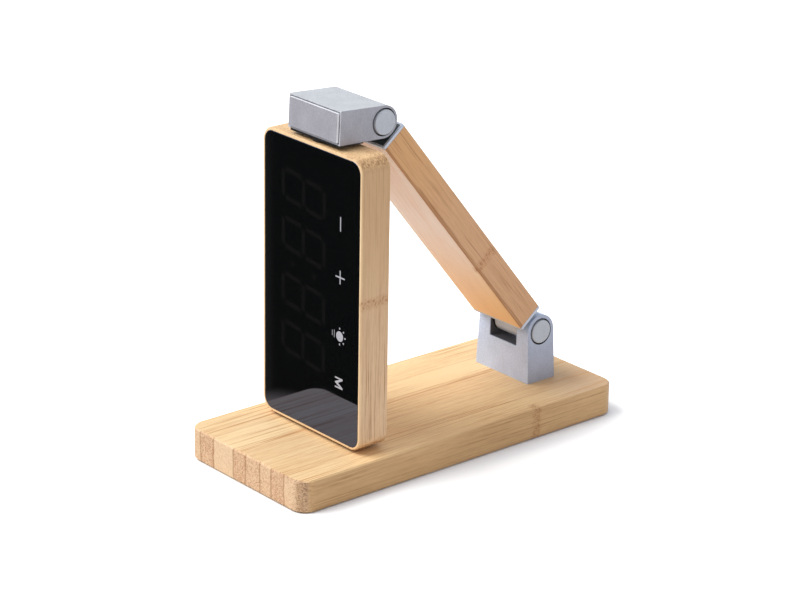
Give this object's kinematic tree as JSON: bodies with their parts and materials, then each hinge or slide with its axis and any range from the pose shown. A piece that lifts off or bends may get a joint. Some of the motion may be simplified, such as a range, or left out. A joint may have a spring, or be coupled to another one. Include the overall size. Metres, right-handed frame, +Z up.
{
  "type": "folding desk clock",
  "caption": "Bamboo desk clock: a flat base, a hinged bamboo arm and an upright panel with a black glass front, hung from a metal head that tilts and swivels.",
  "frame": {"origin": "on the resting plane, midway under the base slab", "axes": "+X to the right seen from the display's side, +Y from the display towards the hinge bracket, +Z up"},
  "size_m": [0.075, 0.17, 0.1535],
  "materials": {
    "base_bamboo": "satin",
    "arm_bamboo": "satin",
    "case_bamboo": "satin",
    "cover_plastic": "matte",
    "screw_steel": "satin",
    "feet_rubber": "matte",
    "coil_copper": "satin",
    "ferrite": "matte",
    "board_green": "satin",
    "socket_steel": "satin",
    "bracket_metal": "satin",
    "cap_metal": "satin",
    "head_metal": "satin",
    "knuckle_metal": "satin",
    "pin_steel": "satin",
    "washer_plastic": "matte",
    "cable_jacket": "matte",
    "collar_plastic": "matte",
    "black_glass": "gloss",
    "block_plastic": "matte",
    "segment_plastic": "satin",
    "holder_plastic": "matte",
    "cell_steel": "satin",
    "buzzer_plastic": "matte"
  },
  "bodies": {
    "base": {"base_slab": "base_bamboo", "base_cover": "cover_plastic", "cover_screws": "screw_steel", "rubber_feet": "feet_rubber", "charging_coil": "coil_copper", "ferrite_shield": "ferrite", "power_board": "board_green", "power_socket": "socket_steel", "hinge_bracket": "bracket_metal", "bracket_screws": "screw_steel", "lower_hinge_pin": "pin_steel", "lower_pin_caps": "cap_metal"},
    "arm": {"arm_bar": "arm_bamboo", "lower_knuckle": "knuckle_metal", "upper_knuckle": "knuckle_metal", "knuckle_screws": "screw_steel", "lower_washers": "washer_plastic", "upper_washers": "washer_plastic", "arm_cable": "cable_jacket"},
    "head": {"head_housing": "head_metal", "head_front_plate": "head_metal", "upper_hinge_pin": "pin_steel", "upper_pin_caps": "cap_metal", "swivel_collar": "collar_plastic"},
    "display": {"display_case": "case_bamboo", "front_glass": "black_glass", "digit_block": "block_plastic", "digit_segments": "segment_plastic", "touch_strip": "board_green", "main_board": "board_green", "board_screws": "screw_steel", "cell_holder": "holder_plastic", "backup_cell": "cell_steel", "buzzer": "buzzer_plastic", "swivel_shaft": "pin_steel", "swivel_clip": "screw_steel"}
  },
  "joints": [
    {"name": "arm_tilt", "type": "hinge", "parent": "base", "child": "arm", "pos_m": [0, 0.0609, 0.036], "axis": [1, 0, 0], "range_deg": [-40, 0]},
    {"name": "head_tilt", "type": "hinge", "parent": "arm", "child": "head", "pos_m": [0, -0.02794, 0.14532], "axis": [1, 0, 0], "range_deg": [-70, 0]},
    {"name": "panel_swivel", "type": "hinge", "parent": "head", "child": "display", "pos_m": [0, -0.04389, 0.13934], "axis": [0, 0, 1], "range_deg": [-20, 20]}
  ]
}
